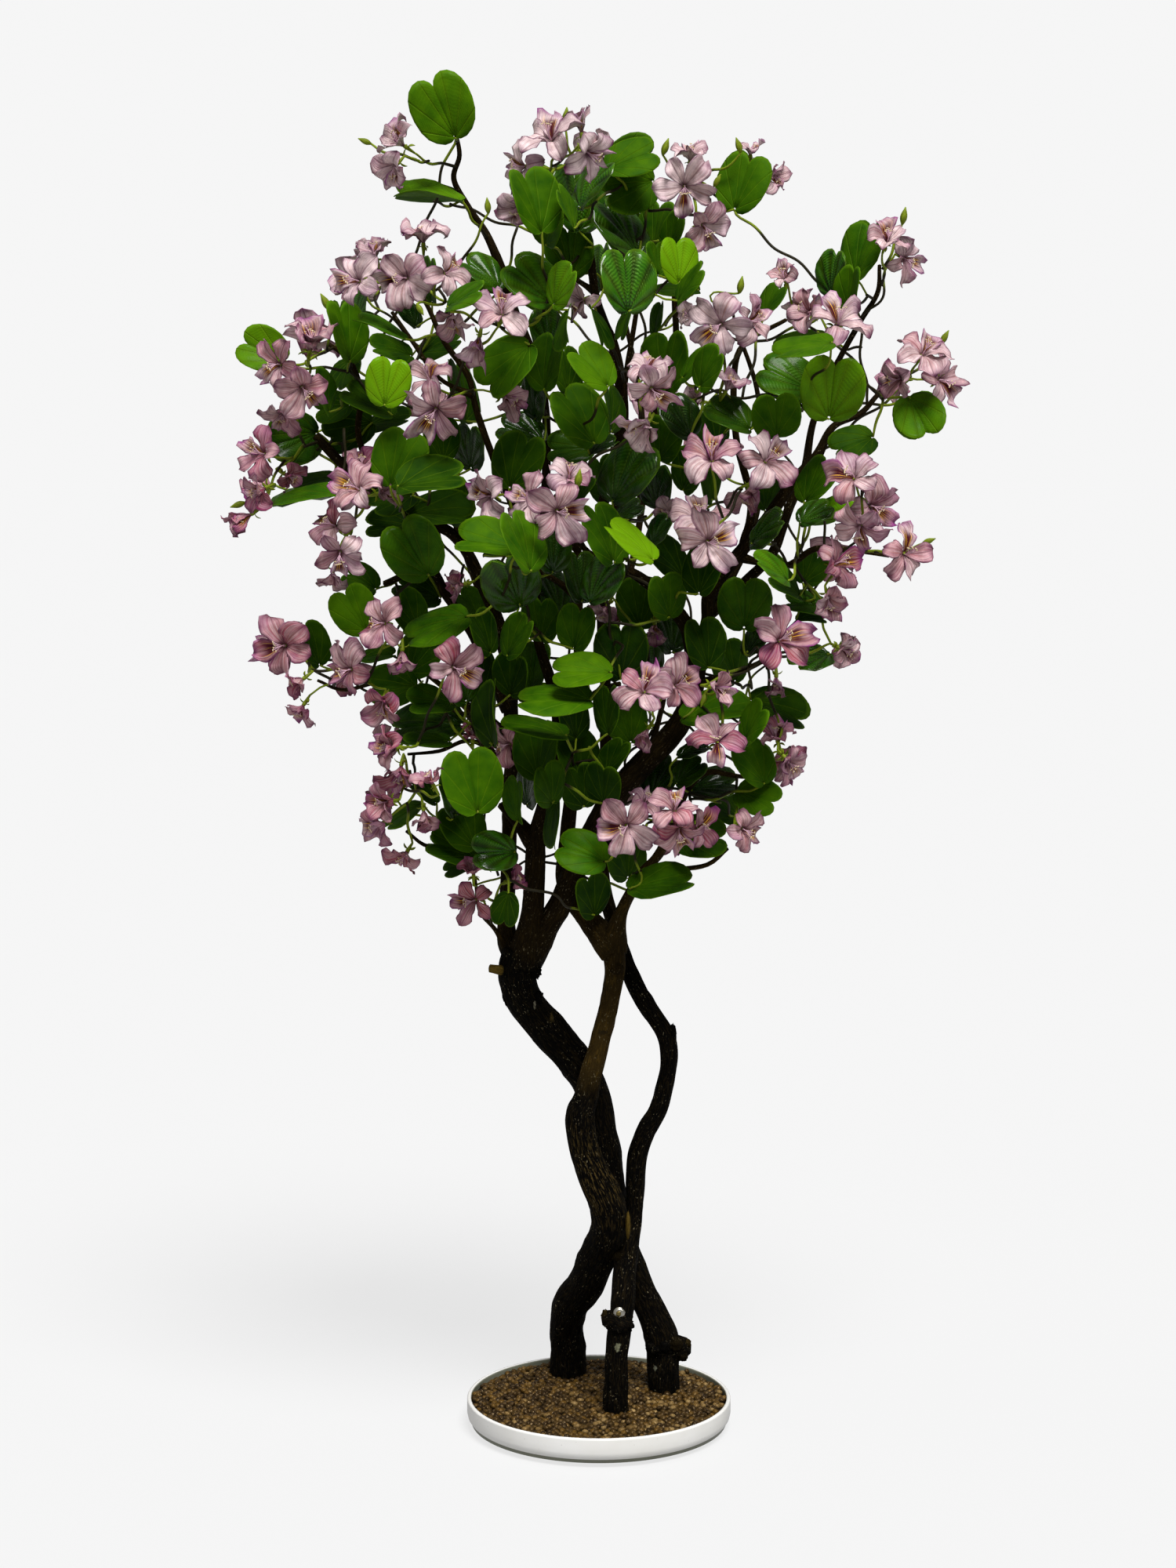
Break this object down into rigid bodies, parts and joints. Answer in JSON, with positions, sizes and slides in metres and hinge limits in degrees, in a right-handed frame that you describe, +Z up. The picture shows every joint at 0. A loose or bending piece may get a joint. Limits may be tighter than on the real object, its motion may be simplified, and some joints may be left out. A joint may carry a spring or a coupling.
{
  "type": "bauhinia bonsai",
  "caption": "Artificial flowering tree: twisted bare trunks in a low round dish of gravel carry a crown of two-lobed leaves and mauve five-petalled flowers.",
  "frame": {"origin": "centre of the dish's flat underside", "axes": "+Z up from the floor to the crown, -Y towards the viewer of the picture (the front), +X to the viewer's right"},
  "size_m": [0.9696, 0.5808, 1.8387],
  "materials": {
    "dish_glaze": "plain off-white glaze, glossy",
    "cement": "cast, matt",
    "gravel_stone": "small rounded pebbles, slightly glossy",
    "bark": "dark fissured bark, matt",
    "bolt_steel": "plain zinc",
    "leaf": "printed deep green, satin",
    "petal": "printed mauve with darker edges, matt"
  },
  "bodies": {
    "root": {"dish": "dish_glaze", "cast_block": "cement", "gravel": "gravel_stone", "trunk_front": "bark", "trunk_right": "bark", "trunk_back": "bark", "leg_bolt": "bolt_steel", "leaf_spray_01": "leaf", "leaf_spray_02": "leaf", "leaf_spray_03": "leaf", "leaf_spray_04": "leaf", "leaf_spray_05": "leaf", "leaf_spray_06": "leaf", "leaf_spray_07": "leaf", "leaf_spray_08": "leaf", "leaf_spray_09": "leaf", "leaf_spray_10": "leaf", "leaf_spray_11": "leaf", "leaf_spray_12": "leaf", "leaf_spray_13": "leaf", "leaf_spray_14": "leaf", "leaf_spray_15": "leaf", "leaf_spray_16": "leaf", "leaf_spray_17": "leaf", "leaf_spray_18": "leaf", "leaf_spray_19": "leaf", "leaf_spray_20": "leaf", "leaf_spray_21": "leaf", "leaf_spray_22": "leaf", "leaf_spray_23": "leaf", "leaf_spray_24": "leaf", "leaf_spray_25": "leaf", "bloom_cluster_01": "petal", "bloom_cluster_02": "petal", "bloom_cluster_03": "petal", "bloom_cluster_04": "petal", "bloom_cluster_05": "petal", "bloom_cluster_06": "petal", "bloom_cluster_07": "petal", "bloom_cluster_08": "petal", "bloom_cluster_09": "petal", "bloom_cluster_10": "petal", "bloom_cluster_11": "petal", "bloom_cluster_12": "petal", "bloom_cluster_13": "petal", "bloom_cluster_14": "petal", "bloom_cluster_15": "petal", "bloom_cluster_16": "petal", "bloom_cluster_17": "petal", "bloom_cluster_18": "petal", "bloom_cluster_19": "petal", "bloom_cluster_20": "petal", "bloom_cluster_21": "petal", "bloom_cluster_22": "petal", "bloom_cluster_23": "petal", "bloom_cluster_24": "petal", "bloom_cluster_25": "petal", "bloom_cluster_26": "petal", "bloom_cluster_27": "petal"}
  },
  "joints": []
}
